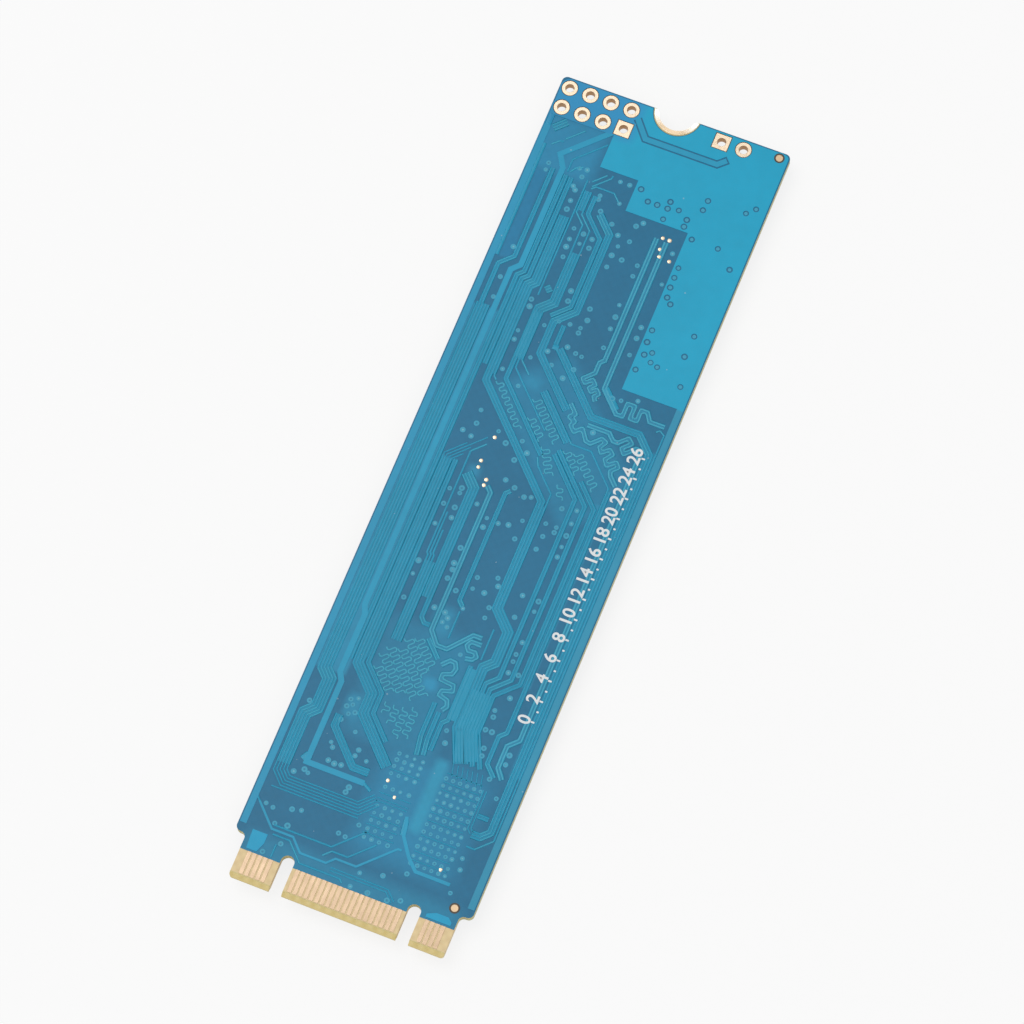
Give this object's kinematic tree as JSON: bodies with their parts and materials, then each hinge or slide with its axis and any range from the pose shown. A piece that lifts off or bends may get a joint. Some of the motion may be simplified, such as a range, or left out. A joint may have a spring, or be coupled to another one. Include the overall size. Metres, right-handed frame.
{
  "type": "gumstick solid state drive",
  "caption": "Slim card-shaped solid state drive with a keyed gold card edge, a half-round mounting notch, blue coated circuits on its bare side and packages on the other.",
  "frame": {"origin": "middle of the resting plane, under the centre of the card's outline", "axes": "+Y along the card from the contact edge to the mounting notch, +X across it to the side of the narrow contact group of the bare side, +Z out of the bare side, away from the packages it lies on"},
  "size_m": [0.022, 0.08, 0.002],
  "materials": {
    "laminate": "satin glass-epoxy",
    "solder_mask": "glossy blue coating",
    "coated_pour": "glossy blue coating over copper",
    "coated_track": "glossy blue coating over copper",
    "gold": "bright gold plating",
    "moulded_package": "fine matt moulding",
    "solder": "reflowed solder",
    "tin": "matt tin",
    "ferrite": "pressed powder",
    "ceramic_base": "fired ceramic",
    "nickel_lid": "rolled nickel",
    "capacitor_ceramic": "fired ceramic",
    "resistor_film": "glass film",
    "white_print": "matt screen print"
  },
  "bodies": {
    "root": {"board_laminate": "laminate", "bare_side_mask": "solder_mask", "chip_side_mask": "solder_mask", "bare_side_contacts": "gold", "chip_side_contacts": "gold", "header_hole_plating": "gold", "jumper_hole_plating": "gold", "mounting_notch_lands": "gold", "sighting_dots": "gold", "coated_ground_copper": "coated_pour", "coated_power_tracks": "coated_pour", "coated_bus_tracks": "coated_track", "coated_matched_tracks": "coated_track", "controller_chip": "moulded_package", "near_flash_chip": "moulded_package", "far_flash_chip": "moulded_package", "support_solder_balls": "solder", "regulator_body": "moulded_package", "regulator_pads": "tin", "power_inductors": "ferrite", "inductor_terminals": "tin", "supply_switch_body": "moulded_package", "supply_switch_leads": "tin", "crystal_base": "ceramic_base", "crystal_lid": "nickel_lid", "large_capacitor_bodies": "capacitor_ceramic", "large_capacitor_end_caps": "tin", "small_capacitor_bodies": "capacitor_ceramic", "small_capacitor_end_caps": "tin", "resistor_bodies": "resistor_film", "resistor_end_caps": "tin"}
  },
  "joints": []
}
